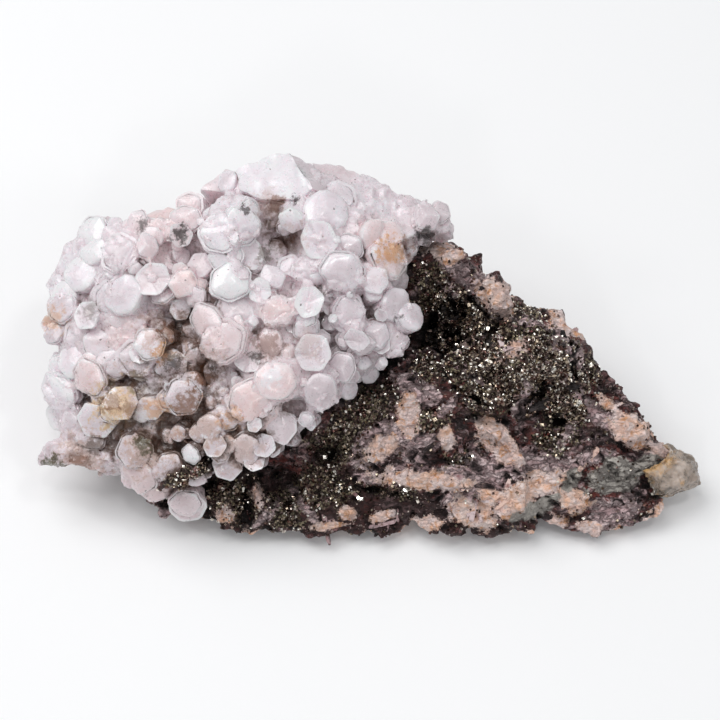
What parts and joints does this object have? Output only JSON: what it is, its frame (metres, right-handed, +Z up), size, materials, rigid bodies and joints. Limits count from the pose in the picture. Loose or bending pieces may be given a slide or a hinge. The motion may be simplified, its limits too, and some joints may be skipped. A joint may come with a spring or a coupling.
{
  "type": "mineral specimen",
  "caption": "Hand-sized mineral specimen: a mound of white nailhead calcite crystals over a dark wedge of bladed baryte crusted with fine pyrite.",
  "frame": {"origin": "middle of the bounding box, on the surface that the specimen rests on", "axes": "+X along the specimen's length, from the calcite end to the narrow quartz end, +Z up from the surface it rests on, with the display face looking up and towards -Y"},
  "size_m": [0.0996, 0.0524, 0.0389],
  "materials": {
    "calcite": "frosted, translucent",
    "baryte": "rough, broken",
    "pyrite": "fine glittering crystals, tarnished",
    "quartz": "glassy, cloudy"
  },
  "bodies": {
    "root": {"baryte_matrix": "baryte", "calcite_cluster": "calcite", "calcite_lower_crystal": "calcite", "pyrite_crust": "pyrite", "quartz_end": "quartz"}
  },
  "joints": []
}
